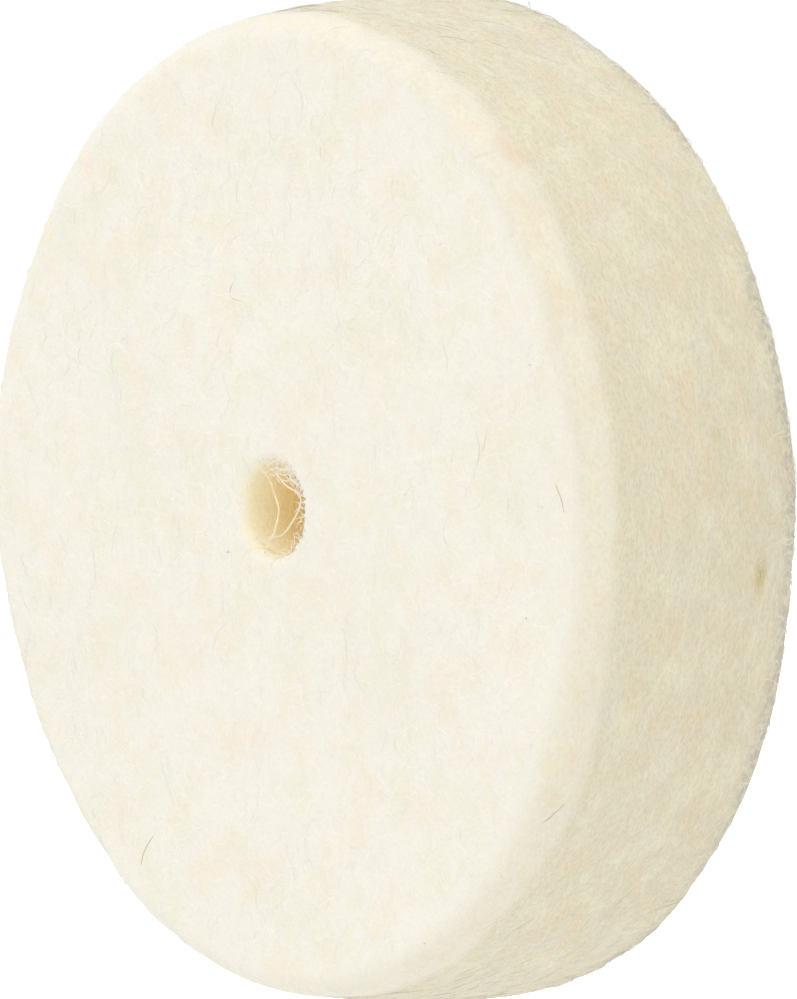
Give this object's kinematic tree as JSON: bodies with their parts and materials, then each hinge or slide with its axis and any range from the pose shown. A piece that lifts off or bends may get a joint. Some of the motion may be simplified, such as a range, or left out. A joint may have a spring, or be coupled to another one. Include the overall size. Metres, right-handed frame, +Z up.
{
  "type": "felt polishing wheel",
  "caption": "Small thick disc of hard pressed wool felt with soft edges and a plain centre bore, carried on a mandrel to polish stones and metal.",
  "frame": {"origin": "centre of the disc, on the bore's axis and half way between the two faces", "axes": "+Y along the bore's axis from the front (working) face to the back face, +Z up, +X to the right when looking at the front face"},
  "size_m": [0.025, 0.006, 0.025],
  "materials": {
    "felt": "matte"
  },
  "bodies": {
    "root": {"felt_disc": "felt"}
  },
  "joints": []
}
